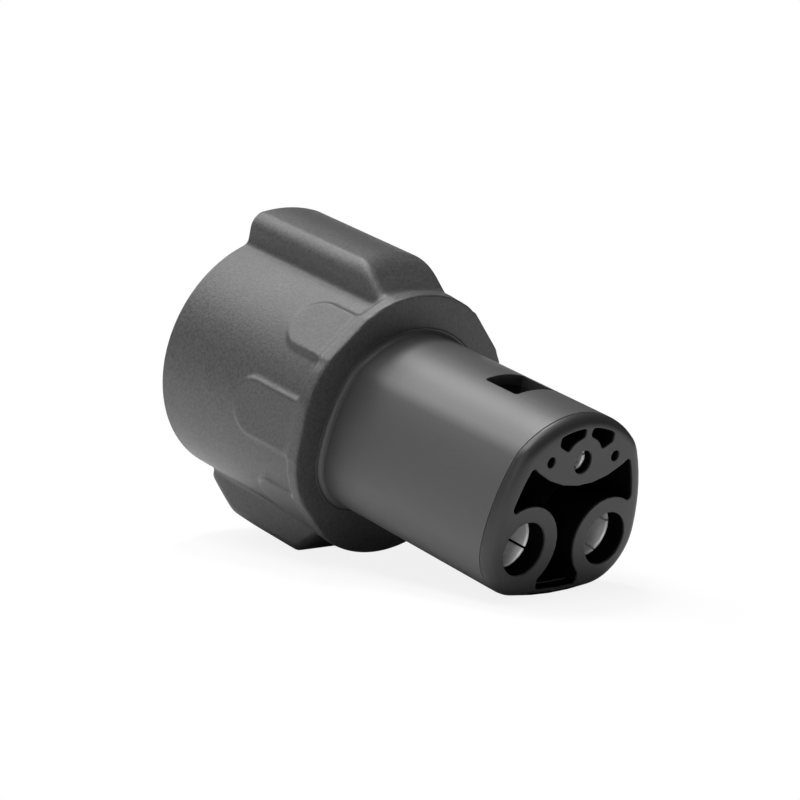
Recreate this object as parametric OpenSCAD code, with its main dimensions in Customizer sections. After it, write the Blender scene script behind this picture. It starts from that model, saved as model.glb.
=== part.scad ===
// Charging plug adapter: a round five-pin socket at the back, a five-contact plug nose at the front.
// Every piece is drawn standing on the socket's rim, with the nose up: X is width, Y is the side that
// carries the latch window, Z runs from the rim to the nose face. lay() then puts the piece where it
// lies at rest, nose along +X, on the lower rib's front edge and the nose's lower lip.

/* [Barrel] */
// Outer radius of the round barrel
barrel_r = 26; // [25.5:0.1:28]
// Radius of the socket bore that takes the cable's plug
socket_r = 22.1; // [21.8:0.05:22.4]
// Distance from the rim to the flange's front face
barrel_len = 45.1; // [44:0.5:60]
// Thickness of the wall that closes the barrel round the nose
front_wall = 3.2; // [2.4:0.1:4]
// Rounding of the rim's outer edge
rim_round = 0.8; // [0.4:0.1:1.5]
// Radius of the wider mouth of the socket
mouth_r = 22.4; // [22.3:0.05:22.8]
// Depth of the wider mouth
mouth_depth = 7; // [4:0.5:8]
// Lead-in chamfer at the socket's mouth
rim_lead = 0.6; // [0.3:0.1:1]

/* [Flange] */
// Radius of the flange round the nose
flange_r = 27.25; // [26.8:0.05:28.2]
// Thickness of the flange at its edge
flange_t = 2.9; // [2:0.1:4]
// Rounding of the flange's outline beside each pad
flange_corner_r = 10; // [6:0.5:11]
// Easing of the flange's front edge
flange_ease = 0.5; // [0.3:0.1:1]

/* [Grip pads] */
// Distance from the barrel's axis to the flat of a pad
pad_flat = 26.12; // [26.05:0.01:26.4]
// Half width of a pad's flat
pad_half_w = 5.5; // [4:0.1:6.5]
// Distance from the flange's front face to the round end of the upper and lower pads
pad_len = 16.5; // [14:0.1:20]
// How much further back the middle pads reach
pad_extra = 5; // [0:0.1:8]
// Angle between neighbouring pads
pad_step = 45; // [45:1:46]

/* [Ribs] */
// Radius of the upper rib's crown about the barrel's axis
rib_r = 32.1; // [31:0.1:34]
// Half width of both ribs
rib_half_w = 9.8; // [8:0.1:11]
// Rounding of the upper rib's long edges
rib_round = 3; // [1:0.1:4]
// Distance from the flange's front face back to where the upper rib's crown starts to fall
rib_fall_back = 14.4; // [12:0.1:20]
// Slope of the upper rib's front face
rib_fall_deg = 35.5; // [30:0.5:40]
// Bend radius between the crown and the front face
rib_bend_r = 9; // [4:0.5:12]
// Distance from the axis to the lower rib's underside
foot_drop = 31.6; // [30.5:0.1:33]
// Rounding of the lower rib's long edges
foot_round = 1.6; // [0.8:0.1:2.5]
// Distance from the flange's front face back to the lower rib's front edge
foot_front_back = 11.7; // [10:0.1:15]
// Rounding of the lower rib's front edge
foot_front_round = 2.5; // [1:0.1:3]
// Slope of the lower rib's front face
foot_fall_deg = 45; // [30:1:60]
// Where the lower rib's sides start to close in towards the rim
foot_neck_at = 20.4; // [16:0.1:24]
// Half width of the lower rib at the rim
foot_neck_half_w = 7.5; // [6.8:0.1:9]
// Length of the ramp that lifts the cable plug's latch
ramp_len = 10; // [8:0.1:11]
// Height of the lower rib's end at the rim, over the barrel
ramp_step = 1.9; // [1:0.1:3]

/* [Latch pocket] */
// Distance from the rim to the pocket that the latch drops into
latch_at = 12; // [11.2:0.1:13]
// Length of the latch pocket
latch_len = 12; // [10:0.1:13]
// Width of the latch pocket
latch_w = 12.4; // [11:0.1:13.5]
// Wall left between the latch pocket and the barrel's outer radius
latch_floor = 1.1; // [0.6:0.1:1.5]

/* [Nose] */
// Length of the nose in front of the flange
nose_len = 48.2; // [44:0.1:52]
// Half width of the nose at its widest
nose_half_w = 20.1; // [19.6:0.1:20.4]
// Height of the nose's crown over the axis
nose_top = 19.5; // [19:0.1:20]
// Depth of the nose's underside below the axis
nose_bottom = 16.8; // [16.6:0.1:17.4]
// How far below the axis the nose is widest
nose_wide_below = 4.8; // [4.2:0.1:5.1]
// Radius of the nose's crown
crown_r = 21.3; // [20.5:0.1:22]
// Radius of the nose's sides
side_r = 36; // [33:0.5:40]
// Radius of the nose's upper corners
upper_corner_r = 8; // [6:0.1:9]
// Radius of the nose's lower corners
lower_corner_r = 11.4; // [10.5:0.1:11.6]
// Wall of the nose sleeve
sleeve_wall = 2.2; // [1.8:0.1:2.6]
// Rounding of the bezel at the nose's face
bezel_r = 2.4; // [1.5:0.1:3]
// Gap between the nose and the opening in the front wall
nose_gap = 0.2; // [0.1:0.05:0.3]
// Eased edge of the opening in the front wall
opening_ease = 0.4; // [0.2:0.05:0.6]
// Gap at the seam between the nose sleeve and its face
seam_gap = 0.15; // [0.1:0.05:0.3]
// Thickness of the sleeve's base flange
base_t = 3; // [2.6:0.1:3.4]
// Thickness of the gasket behind the front wall
seal_t = 0.8; // [0.5:0.1:1.2]

/* [Latch window] */
// Distance from the nose's face to the latch window
window_at = 15; // [14:0.1:17]
// Length of the latch window along the nose
window_len = 8.7; // [7.5:0.1:9.5]
// Width of the latch window
window_w = 10.7; // [9:0.1:11.5]
// Height of the window pocket's floor over the ground contact's axis
window_floor_over = 4; // [3.8:0.1:4.6]
// Rounding of the window's corners
window_round = 0.7; // [0.3:0.1:1.2]

/* [Nose contacts] */
// Sideways distance from the axis to each power contact
power_x = 10.97; // [10.7:0.01:11.2]
// How far below the axis the power contacts are
power_below = 5.95; // [5.7:0.01:6.2]
// Radius of the power contact holes in the face
power_hole_r = 5.36; // [5.3:0.01:5.5]
// Radius of the power contact's own bore
power_bore_r = 5; // [4.6:0.01:5.1]
// Wall of the power contacts
power_wall = 0.7; // [0.6:0.05:0.75]
// How far the power contacts lie back from the face
power_recess = 4.4; // [3:0.1:6]
// Radius of a power contact's tail
power_tail_r = 2.6; // [2:0.1:2.8]
// Height of the ground contact over the axis
ground_y = 10.48; // [10.2:0.01:10.7]
// Radius of the ground contact hole in the face
ground_hole_r = 2.32; // [2.25:0.01:2.5]
// Radius of the ground contact's own bore
ground_bore_r = 2; // [1.8:0.01:2.1]
// Wall of the ground contact
ground_wall = 0.7; // [0.5:0.05:0.8]
// How far the ground contact lies back from the face
ground_recess = 2; // [1:0.1:3]
// Radius of the ground contact's tail
ground_tail_r = 1; // [0.8:0.1:1.1]
// Sideways distance from the axis to each signal contact
signal_x = 8.67; // [8.4:0.01:8.9]
// Height of the signal contacts over the axis
signal_y = 11.1; // [10.8:0.01:11.4]
// Radius of the signal contact holes in the face
signal_hole_r = 1.1; // [1:0.01:1.2]
// Radius of the signal contact's own bore
signal_bore_r = 0.6; // [0.5:0.01:0.7]
// Wall of the signal contacts
signal_wall = 0.6; // [0.5:0.05:0.7]
// How far the signal contacts lie back from the face
signal_recess = 6; // [3:0.1:8]
// Radius of a signal contact's tail
signal_tail_r = 0.6; // [0.5:0.1:0.8]
// Width of the slits between the power and ground contact tines
slit_w = 0.45; // [0.3:0.05:0.6]
// Width of the slits between the signal contact tines
signal_slit_w = 0.3; // [0.2:0.05:0.35]
// Length of the power contact's tines
power_tines = 18; // [14:0.5:20]
// Length of the ground contact's tines
ground_tines = 14; // [10:0.5:16]
// Length of the signal contact's tines
signal_tines = 8; // [6:0.5:10]
// Gap between a contact and its hole in the plastic
contact_gap = 0.14; // [0.1:0.01:0.2]
// How far a contact's collar stands out
collar_out = 0.5; // [0.4:0.05:0.6]
// Thickness of a contact's collar
collar_t = 2; // [1.5:0.1:2.5]
// Thickness of the base that holds the contacts
contact_base_t = 6; // [5:0.5:8]
// Length of a contact's shank behind that base
contact_shank = 5; // [4:0.5:6]
// Width of the spring ring round a power contact's tines
spring_w = 4; // [3:0.5:5]
// Thickness of the spring ring
spring_t = 0.3; // [0.2:0.05:0.35]
// Gap between the spring ring and its groove
spring_gap = 0.05; // [0.03:0.01:0.1]
// Opening in the spring ring
spring_open = 1; // [0.5:0.1:1.5]

/* [Face recess] */
// Depth of the recess in the nose's face
recess_depth = 28; // [24:0.5:30]
// Radius of the plastic left round each power hole
power_boss_r = 8.5; // [8.2:0.1:8.7]
// Radius of the recess's upper edge
recess_top_r = 20.5; // [19:0.5:22]
// Height of the recess's upper edge over the axis, at the middle
recess_top_y = 5.8; // [5.2:0.1:6.2]
// Wall left between the recess and the nose's side
recess_side_wall = 3.2; // [2.8:0.1:3.6]
// Wall left between the recess and the nose's underside
recess_low_wall = 1.9; // [1.8:0.1:2.2]
// Half width of the recess's stem at the bottom
recess_stem_half_w = 5.6; // [5:0.1:6]
// Rounding of the recess's corners
recess_round = 0.9; // [0.5:0.1:1]
// Depth of the two slots over the ground contact
slot_depth = 9; // [6:0.5:11]
// Depth of the face piece, from its front to the contact housing
face_t = 10; // [9.5:0.5:12]
// Radius of the plastic left between the slots and the ground hole
slot_inner_r = 5; // [4.6:0.1:5.4]
// Rounding of the slots' corners
slot_round = 0.8; // [0.4:0.1:0.9]
// Half of the web between the two slots
slot_web = 0.7; // [0.5:0.1:1]
// Height over the ground contact of a slot's lower end
slot_foot_y = 2.6; // [2:0.1:3]
// Rise of a slot's lower end from its inner to its outer side, each way from that height
slot_foot_rise = 1; // [0.6:0.1:1.4]
// Distance from the middle to a slot's outer side
slot_half_w = 7.3; // [6.5:0.1:7.4]

/* [Socket pins] */
// Sideways distance from the axis to each line pin
line_x = 7.85; // [7.7:0.01:8]
// How far below the axis the line pins are
line_below = 6.8; // [6.6:0.01:7]
// Radius of the line pins
line_r = 1.8; // [1.7:0.01:1.9]
// Height of the ground pin over the axis
earth_y = 10.6; // [10.4:0.01:10.8]
// Radius of the ground pin
earth_r = 1.4; // [1.3:0.01:1.5]
// Sideways distance from the axis to the pilot and proximity pins
pilot_x = 10.65; // [10.5:0.01:10.8]
// Height of the pilot and proximity pins over the axis
pilot_y = 5.6; // [5.4:0.01:5.8]
// Radius of the pilot and proximity pins
pilot_r = 0.75; // [0.7:0.01:0.85]
// Distance from the rim to the tips of the line and ground pins
pin_tip_at = 12; // [10:0.5:15]
// How much the radius of a pin grows where the plate holds it
pin_shoulder = 0.5; // [0.4:0.05:0.6]
// How much the radius of a pin grows at the collar behind the plate
pin_collar_out = 1; // [0.9:0.05:1.2]
// Thickness of a pin's collar
pin_collar_t = 1; // [0.8:0.1:1.2]
// How much further back the pilot and proximity tips lie
pilot_tip_back = 2; // [0:0.5:4]

/* [Pin carrier] */
// Thickness of the carrier's plate under the pins
plate_t = 3; // [2.6:0.1:3.4]
// Distance from the rim to the ends of the towers round the pins
tower_at = 9; // [7:0.5:11]
// Room for the links between the plate and the sleeve's base
link_room = 3.1; // [3:0.1:4]
// Gap between a pin and its tower
tower_gap = 2.5; // [2.2:0.1:2.7]
// Wall of a tower
tower_wall = 1.3; // [1:0.1:1.4]
// Gap between the carrier or the sleeve's base and the barrel's bore
carrier_gap = 0.15; // [0.1:0.01:0.25]
// Width of the groove for the carrier's seal ring
ring_w = 1.4; // [1.2:0.1:1.6]
// Depth of the groove for the carrier's seal ring
ring_depth = 1; // [0.8:0.05:1.05]
// Gap over and under the carrier's seal ring
ring_gap = 0.03; // [0.02:0.01:0.05]
// Gap at each side of the carrier's seal ring
ring_side_gap = 0.1; // [0.05:0.01:0.15]

/* [Fixing screws] */
// Distance from the axis to each fixing screw
screw_at = 19.3; // [19.1:0.05:19.5]
// Radius of a fixing screw's shank
screw_r = 1.05; // [0.9:0.01:1.1]
// Radius of a fixing screw's head
screw_head_r = 1.9; // [1.7:0.05:2]
// How deep a fixing screw reaches into the sleeve's base
screw_bite = 2.4; // [1.8:0.1:2.5]
// Width of the cross slots in a screw's head
cross_w = 0.5; // [0.4:0.05:0.6]
// Length of the cross slots in a screw's head
cross_len = 2; // [1.5:0.1:2.4]
// Gap round a screw in its hole
screw_gap = 0.1; // [0.05:0.01:0.15]

/* [Links] */
// Thickness of the power links
power_link_t = 2; // [1.5:0.1:2.2]
// Width of the power links
power_link_w = 7; // [6:0.1:8]
// Thickness of the ground and signal links
small_link_t = 1; // [0.8:0.1:1.2]
// Width of the ground and signal links
small_link_w = 3; // [2.6:0.1:3.4]
// How far a power link's post stands from its pin
power_link_post = 8.2; // [7.6:0.1:8.6]
// How far the ground link's post stands from its pin
ground_link_post = 4.6; // [4:0.1:5]
// Gap between a link and the tail that it sits on
link_gap = 0.05; // [0.03:0.01:0.1]

/* [Hidden] */
$fn = 96;
eps = 0.01;

plastic = [0.17, 0.17, 0.18];
dark_plastic = [0.1, 0.1, 0.11];
rubber = [0.05, 0.05, 0.05];
silver_plate = [0.75, 0.74, 0.71];
steel = [0.6, 0.6, 0.62];
copper = [0.72, 0.42, 0.26];

// Stations along the axis, from the rim
total_len = barrel_len + nose_len;
wall_in = barrel_len - front_wall;
base_front = wall_in - seal_t;
base_back = base_front - base_t;
carrier_r = socket_r - carrier_gap;
link_seat = base_back - link_room;
socket_depth = link_seat - plate_t;
pad_start = barrel_len - pad_len;
rib_fall_at = barrel_len - rib_fall_back;
foot_front = barrel_len - foot_front_back;
recess_floor = total_len - recess_depth;
face_back = total_len - face_t;
contact_back = recess_floor - contact_base_t;
seam_at = total_len - bezel_r;
window_end = total_len - window_at;
window_floor = ground_y + window_floor_over;
ring_at = (link_seat + base_back) / 2;
link_front = contact_back - contact_shank;

// Places across the axis
power_at = [power_x, -power_below];
ground_at = [0, ground_y];
signal_at = [signal_x, signal_y];
line_at = [line_x, -line_below];
earth_at = [0, earth_y];
pilot_at = [pilot_x, pilot_y];
screw_dirs = [48, 132, 249, 291];
// Radius of a pin's tail, and rounding of its tip, as shares of its own radius
pin_tail = 0.6;
pin_tip = 0.6;
// Chamfers of a contact's mouth as a share of its wall
mouth_share = 0.35;
// Directions of the slits in each contact, seen from the face's back
power_slits = 72;
left_slit_at = -21;
right_slit_at = -55;
ground_slits = 90;
ground_slit_at = 20;
signal_slits = 180;
signal_slit_at = 0;

// Right-hand meeting point of two circles
function meet(c1, r1, c2, r2) =
    let (d = c2 - c1, m = norm(d), u = d / m, a = (r1 * r1 - r2 * r2 + m * m) / (2 * m))
    c1 + a * u + sqrt(r1 * r1 - a * a) * [u.y, -u.x];

// Direction of one point seen from another
function bearing(from, to) = atan2(to.y - from.y, to.x - from.x);

// Points along an arc
function arc(c, r, a0, a1, n = 16) =
    [for (i = [0 : n]) let (a = a0 + (a1 - a0) * i / n) c + r * [cos(a), sin(a)]];

// The nose's outline is eight arcs that run smoothly into each other: crown, upper corners, sides,
// lower corners and underside. The underside's radius follows from its depth and the lower corners.
low_c = [nose_half_w - lower_corner_r, -nose_wide_below];
low_gap = nose_bottom - nose_wide_below - lower_corner_r;
under_r = lower_corner_r + (low_c.x * low_c.x / low_gap + low_gap) / 2;
under_c = [0, under_r - nose_bottom];
side_c = [nose_half_w - side_r, -nose_wide_below];
crown_c = [0, nose_top - crown_r];
up_c = meet(crown_c, crown_r - upper_corner_r, side_c, side_r - upper_corner_r);
crown_a = bearing(crown_c, up_c);
side_a = bearing(side_c, up_c);
under_a = bearing(under_c, low_c);
right_arcs = [[low_c, lower_corner_r, under_a, 0], [side_c, side_r, 0, side_a],
              [up_c, upper_corner_r, side_a, crown_a]];
left_arcs = [for (i = [2 : -1 : 0]) let (a = right_arcs[i])
    [[-a[0].x, a[0].y], a[1], 180 - a[3], 180 - a[2]]];
nose_arcs = concat(right_arcs, [[crown_c, crown_r, crown_a, 180 - crown_a]], left_arcs,
                   [[under_c, under_r, -180 - under_a, under_a]]);

// The flange's outline: an arc about the axis over and under it, a flat beside each pad, and round corners
corner_at = flange_r - flange_corner_r;
corner_a = acos((pad_flat - flange_corner_r) / corner_at);
flange_arcs = [for (side = [0, 180]) each concat(
    [for (k = [-1 : 1], end = [-1, 1]) let (flat = side + k * pad_step, a = flat + end * corner_a)
        [corner_at * [cos(a), sin(a)], flange_corner_r, min(flat, a), max(flat, a)]],
    [[[0, 0], flange_r, side + pad_step + corner_a, side + 180 - pad_step - corner_a]])];

// An outline of arcs as points about 4 degrees apart, moved out by a distance
function outline(arcs, out) =
    [for (a = arcs) let (turn = a[3] - a[2], n = ceil(turn / 4)) for (i = [0 : n - 1])
        a[0] + (a[1] + out) * [cos(a[2] + turn * i / n), sin(a[2] + turn * i / n)]];

// Angle at rest: the lower rib's front edge and the bezel's lower lip touch the same surface
foot_c = [foot_front - foot_front_round, foot_front_round - foot_drop];
lip_c = [total_len - bezel_r, bezel_r - nose_bottom];
rest_tilt = bearing(foot_c, lip_c) - asin((bezel_r - foot_front_round) / norm(lip_c - foot_c));
rest_z = foot_front_round + foot_c.x * sin(rest_tilt) - foot_c.y * cos(rest_tilt);
// The back of the part is the rim's lower edge or the lower rib's end, and its front is the bezel's upper lip
rib_back = rim_round / 2;
rim_x = (rim_round - barrel_r) * sin(rest_tilt) + rim_round * cos(rest_tilt) - rim_round;
rib_x = rib_back * cos(rest_tilt) - (barrel_r + ramp_step) * sin(rest_tilt);
back_x = min(rim_x, rib_x);
front_x = (total_len - bezel_r) * cos(rest_tilt) + (nose_top - bezel_r) * sin(rest_tilt) + bezel_r;

// Puts a piece where it lies at rest, centred over the origin
module lay() {
    translate([-(back_x + front_x) / 2, 0, rest_z])
        rotate([0, rest_tilt, 0])
            rotate([90, 0, 90])
                children();
}

// Filled nose outline, moved out by a distance
module nose_block(out, from, to) {
    translate([0, 0, from])
        linear_extrude(to - from)
            polygon(outline(nose_arcs, out));
}

// Filled nose outline that grows or shrinks along a quarter round, as one convex body
module nose_round(out_at, from, r) {
    hull()
        for (a = [0 : 15 : 90])
            nose_block(out_at - r * (1 - cos(a)), from + r * sin(a) - eps, from + r * sin(a));
}

// Round barrel with its rounded rim, before the bore is cut
module barrel_turned() {
    rotate_extrude()
        polygon(concat([[0, 0]],
            arc([barrel_r - rim_round, rim_round], rim_round, -90, 0, 8),
            [[barrel_r, barrel_len - flange_t], [0, barrel_len - flange_t]]));
}

// Filled flange outline, moved out by a distance
module flange_block(out, from, to) {
    translate([0, 0, from])
        linear_extrude(to - from)
            polygon(outline(flange_arcs, out));
}

// Flange: grows out of the barrel at 45 degrees, and its front edge is eased
module flange() {
    back = barrel_len - flange_t;
    rise = flange_r - barrel_r + flange_ease;
    ease_at = barrel_len - flange_ease;
    hull() {
        flange_block(-rise, back - rise, back - rise + eps);
        flange_block(0, back, back + eps);
    }
    flange_block(0, back, ease_at);
    hull() {
        flange_block(0, ease_at - eps, ease_at);
        flange_block(-flange_ease, barrel_len - eps, barrel_len);
    }
}

// A flat grip pad with sides at 45 degrees and a round back end, rooted half-way into the barrel's wall
module grip_pad(start) {
    root = (min(pad_flat, barrel_r) + socket_r) / 2;
    root_half_w = pad_half_w + pad_flat - root;
    round_at = start + pad_half_w;
    translate([root, 0, round_at])
        rotate([0, 90, 0])
            cylinder(h = pad_flat - root, r1 = root_half_w, r2 = pad_half_w);
    translate([0, 0, round_at])
        linear_extrude(barrel_len - flange_t - round_at)
            polygon([[root, -root_half_w], [pad_flat, -pad_half_w], [pad_flat, pad_half_w],
                     [root, root_half_w]]);
}

// Cross-section of the upper rib: a crown about the barrel's axis and rounded long edges
module rib_section() {
    edge_x = rib_half_w - rib_round;
    edge_y = sqrt(pow(rib_r - rib_round, 2) - pow(edge_x, 2));
    intersection() {
        circle(r = rib_r);
        polygon([[0, 0], [2 * edge_x, 2 * edge_y], [-2 * edge_x, 2 * edge_y]]);
    }
    for (side = [-1, 1])
        translate([side * edge_x, edge_y])
            circle(r = rib_round, $fn = 64);
    translate([-rib_half_w, 0])
        square([2 * rib_half_w, edge_y]);
}

// A bar with rounded upper edges, tipped to the slope of the upper rib's front face
module rib_front() {
    edge = rib_half_w + eps - rib_round;
    top = rib_bend_r + eps - rib_round;
    translate([0, rib_r - rib_bend_r, rib_fall_at])
        rotate([rib_fall_deg, 0, 0])
            linear_extrude(3 * barrel_len, center = true)
                polygon(concat(arc([edge, top], rib_round, 0, 90, 4), arc([-edge, top], rib_round, 90, 180, 4),
                               [[-edge - rib_round, -rib_r], [edge + rib_round, -rib_r]]));
}

// Upper rib: its section runs straight, bends down to the flange, and keeps its rounded edges
module upper_rib() {
    fall_x = rib_fall_at + rib_bend_r * sin(rib_fall_deg);
    fall_y = rib_r - rib_bend_r * (1 - cos(rib_fall_deg));
    front = barrel_len - flange_t / 2;
    intersection() {
        linear_extrude(front)
            rib_section();
        rotate([90, 0, 90])
            linear_extrude(2 * rib_half_w + 1, center = true)
                polygon(concat([[0, rib_back], [rib_r + 1, rib_back], [rib_r + 1, rib_fall_at]],
                    [for (p = arc([0, 0], rib_bend_r, 0, rib_fall_deg))
                        [rib_r - rib_bend_r + p.x, rib_fall_at + p.y]],
                    [[fall_y - (front + 1 - fall_x) * tan(rib_fall_deg), front + 1], [0, front + 1]]));
        rib_front();
    }
}

// Lower rib: flat underside to rest on, sides that close in towards the rim, and a ramp for the latch
module lower_rib() {
    neck = rib_half_w - foot_neck_half_w;
    neck_r = (foot_neck_at * foot_neck_at + neck * neck) / (2 * neck);
    neck_a = asin(foot_neck_at / neck_r);
    front_top = foot_front + (foot_drop - socket_r) / tan(foot_fall_deg);
    ramp_y = barrel_r + ramp_step;
    intersection() {
        linear_extrude(barrel_len)
            union() {
                translate([-rib_half_w, -(foot_drop - foot_round)])
                    square([2 * rib_half_w, foot_drop - foot_round]);
                translate([-(rib_half_w - foot_round), -foot_drop])
                    square([2 * (rib_half_w - foot_round), foot_drop]);
                for (side = [-1, 1])
                    translate([side * (rib_half_w - foot_round), foot_round - foot_drop])
                        circle(r = foot_round, $fn = 48);
            }
        rotate([90, 0, 90])
            linear_extrude(2 * rib_half_w, center = true)
                polygon(concat([[-socket_r, rib_back], [-ramp_y, rib_back],
                                [-foot_drop, ramp_len]],
                    [for (p = arc([0, 0], foot_front_round, 180, 180 - foot_fall_deg))
                        [foot_front_round - foot_drop + p.x, foot_c.x + p.y]],
                    [[-socket_r, front_top]]));
        rotate([90, 0, 0])
            linear_extrude(foot_drop + 1)
                polygon(concat(
                    [for (p = arc([rib_half_w - neck_r, foot_neck_at], neck_r, -neck_a, 0)) p],
                    [[rib_half_w, barrel_len], [-rib_half_w, barrel_len]],
                    [for (p = arc([neck_r - rib_half_w, foot_neck_at], neck_r, 180, 180 + neck_a)) p]));
    }
}

// One moulding: barrel, flange, ribs and pads outside; socket bore and the nose's opening inside
module barrel_housing() {
    color(plastic)
        lay()
            difference() {
                union() {
                    barrel_turned();
                    flange();
                    for (side = [0, 180], k = [-1 : 1])
                        rotate(side + k * pad_step)
                            grip_pad(k == 0 ? pad_start - pad_extra : pad_start);
                    upper_rib();
                    lower_rib();
                }
                translate([0, 0, -eps])
                    cylinder(h = wall_in + eps, r = socket_r);
                translate([0, 0, -eps])
                    cylinder(h = mouth_depth + eps, r = mouth_r);
                translate([0, 0, -eps])
                    cylinder(h = rim_lead + eps, r1 = mouth_r + rim_lead, r2 = mouth_r);
                nose_block(nose_gap, wall_in - 1, barrel_len + 1);
                hull() {
                    nose_block(nose_gap, barrel_len - opening_ease, barrel_len - opening_ease + eps);
                    nose_block(nose_gap + opening_ease, barrel_len, barrel_len + eps);
                }
                translate([-latch_w / 2, -foot_drop - 1, latch_at])
                    cube([latch_w, foot_drop + 1 - barrel_r - latch_floor, latch_len]);
            }
}

// Flat gasket between the sleeve's base and the front wall
module nose_seal() {
    color(rubber)
        lay()
            difference() {
                translate([0, 0, base_front])
                    cylinder(h = seal_t, r = carrier_r);
                nose_block(nose_gap / 2, base_front - 1, wall_in + 1);
            }
}

// Nose sleeve: a tube on the nose's outline and a round base held behind the front wall
module nose_sleeve() {
    color(plastic)
        lay()
            difference() {
                union() {
                    nose_block(0, base_back, seam_at - seam_gap);
                    translate([0, 0, base_back])
                        cylinder(h = base_t, r = carrier_r);
                }
                nose_block(-sleeve_wall, base_back - 1, seam_at + 1);
                for (a = screw_dirs)
                    rotate(a)
                        translate([screw_at, 0, base_back - 1])
                            cylinder(h = 1 + screw_bite + screw_gap, r = screw_r + screw_gap / 2, $fn = 32);
                window_cut(nose_top + 1);
            }
}

// The latch window's prism, from its floor out through the crown
module window_cut(top) {
    for (dx = [window_round, 0])
        translate([-window_w / 2 + dx, window_floor, window_end - window_len + window_round - dx])
            cube([window_w - 2 * dx, top - window_floor, window_len - 2 * window_round + 2 * dx]);
    for (sx = [-1, 1], z = [window_end - window_round, window_end - window_len + window_round])
        translate([sx * (window_w / 2 - window_round), window_floor, z])
            rotate([-90, 0, 0])
                cylinder(h = top - window_floor, r = window_round, $fn = 32);
}

// Outline of the recess in the nose's face: wings beside the ground boss, a stem between the power bosses
module recess_outline() {
    offset(r = recess_round, $fn = 32)
        offset(delta = -recess_round)
            difference() {
                union() {
                    intersection() {
                        polygon(outline(nose_arcs, -recess_side_wall));
                        translate([-nose_half_w, -nose_wide_below])
                            square([2 * nose_half_w, nose_top + nose_wide_below]);
                    }
                    intersection() {
                        polygon(outline(nose_arcs, -recess_low_wall));
                        translate([-recess_stem_half_w, -nose_bottom])
                            square([2 * recess_stem_half_w, nose_bottom]);
                    }
                }
                recess_bosses();
            }
}

// What the recess leaves standing: the ground boss's arc and the round power bosses
module recess_bosses() {
    translate([0, recess_top_y + recess_top_r])
        circle(r = recess_top_r);
    for (side = [-1, 1])
        translate([side * power_at.x, power_at.y])
            circle(r = power_boss_r);
}

// Outline of the slot over the ground contact on one side
module slot_outline(side) {
    foot = ground_y + slot_foot_y;
    offset(r = slot_round, $fn = 24)
        offset(delta = -slot_round)
            difference() {
                intersection() {
                    polygon(outline(nose_arcs, -sleeve_wall));
                    polygon([[side * slot_web, foot],
                             [side * (slot_inner_r - slot_foot_y + slot_round), foot - slot_foot_rise],
                             [side * slot_half_w, foot + slot_foot_rise], [side * slot_half_w, nose_top],
                             [side * slot_web, nose_top]]);
                }
                translate(ground_at)
                    circle(r = slot_inner_r);
            }
}

// Each nose contact: place, radius of its hole in the face, its outer radius, and how far it lies back
function contacts() = [[[-power_at.x, power_at.y], power_hole_r, power_bore_r + power_wall, power_recess],
                       [power_at, power_hole_r, power_bore_r + power_wall, power_recess],
                       [ground_at, ground_hole_r, ground_bore_r + ground_wall, ground_recess],
                       [[-signal_at.x, signal_at.y], signal_hole_r, signal_bore_r + signal_wall, signal_recess],
                       [signal_at, signal_hole_r, signal_bore_r + signal_wall, signal_recess]];

// The spaces that the five contacts lie in, up to the lip that holds each one back from the face
module contact_spaces() {
    for (c = contacts())
        translate([c[0].x, c[0].y, contact_back - 1])
            cylinder(h = total_len - c[3] + contact_gap - contact_back + 1, r = c[2] + contact_gap, $fn = 64);
}

// The recess and the spaces for the contacts, cut out of whatever lies between two places
module face_cuts(from, to) {
    translate([0, 0, from - 1])
        linear_extrude(to - from + 2)
            recess_outline();
    contact_spaces();
}

// Face piece: rounded bezel in front of the sleeve, a plug inside it, the slots and the contact holes
module nose_face() {
    color(dark_plastic)
        lay()
            difference() {
                union() {
                    nose_block(-sleeve_wall - contact_gap, face_back, seam_at + 1);
                    nose_round(0, seam_at, bezel_r);
                }
                face_cuts(face_back, total_len);
                for (side = [-1, 1])
                    translate([0, 0, total_len - slot_depth])
                        linear_extrude(slot_depth + 1)
                            slot_outline(side);
                for (c = contacts())
                    translate([c[0].x, c[0].y, face_back - 1])
                        cylinder(h = face_t + 2, r = c[1], $fn = 64);
            }
}

// Contact housing: carries the recess and the contacts on behind the face piece, under the latch window
module contact_housing() {
    color(dark_plastic)
        lay()
            difference() {
                nose_block(-sleeve_wall - contact_gap, recess_floor, face_back);
                face_cuts(recess_floor, face_back);
                window_cut(nose_top + 1);
            }
}

// Contact base: closes the recess from behind and holds the five contacts
module contact_base() {
    color(dark_plastic)
        lay()
            difference() {
                nose_block(-sleeve_wall - contact_gap, contact_back, recess_floor);
                contact_spaces();
                for (c = contacts())
                    translate([c[0].x, c[0].y, contact_back - 1])
                        cylinder(h = 1 + collar_t, r = c[2] + collar_out + contact_gap, $fn = 64);
            }
}

// Pin carrier: a plate with a tower round each pin, towards the rim
module pin_carrier() {
    head_t = screw_head_r - screw_r;
    color(dark_plastic)
        lay()
            difference() {
                union() {
                    translate([0, 0, socket_depth])
                        cylinder(h = plate_t, r = carrier_r);
                    for (p = socket_pins())
                        translate([p[0].x, p[0].y, tower_at])
                            cylinder(h = socket_depth - tower_at + eps, r = p[1] + tower_gap + tower_wall);
                }
                for (p = socket_pins()) {
                    translate([p[0].x, p[0].y, tower_at - 1])
                        cylinder(h = socket_depth - tower_at + 1, r = p[1] + tower_gap);
                    translate([p[0].x, p[0].y, socket_depth - 1])
                        cylinder(h = plate_t + 2, r = p[1] + pin_shoulder + link_gap, $fn = 48);
                }
                screw_holes(socket_depth - 1, link_seat + 1);
                for (a = screw_dirs)
                    rotate(a)
                        translate([screw_at, 0, socket_depth - eps])
                            cylinder(h = head_t, r1 = screw_head_r + screw_gap, r2 = screw_r + screw_gap,
                                     $fn = 32);
            }
}

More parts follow.
